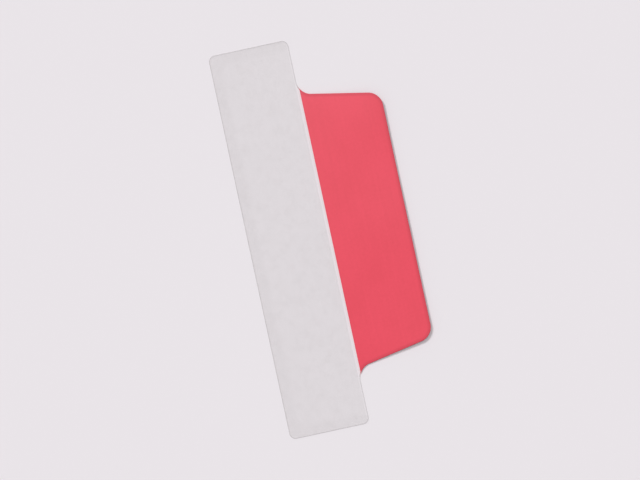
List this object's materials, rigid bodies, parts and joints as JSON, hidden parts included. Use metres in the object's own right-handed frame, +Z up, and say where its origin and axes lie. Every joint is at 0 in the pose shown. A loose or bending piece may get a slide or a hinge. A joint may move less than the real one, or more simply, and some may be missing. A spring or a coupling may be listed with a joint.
{
  "type": "sticky index tab",
  "caption": "Flat sticky index tab: a see-through adhesive film strip with a stiff coloured flap that stands out past the page's edge.",
  "frame": {"origin": "middle of the line where the page's edge goes, on the adhesive underside", "axes": "+X runs along the page's edge, +Y points out of the page towards the flap's tip, +Z is up from the adhesive face"},
  "size_m": [0.0636, 0.0261, 0.0003],
  "materials": {
    "clear_film": "satin",
    "flap_colour": "satin"
  },
  "bodies": {
    "root": {"clear_carrier_film": "clear_film", "coloured_flap_film": "flap_colour"}
  },
  "joints": []
}
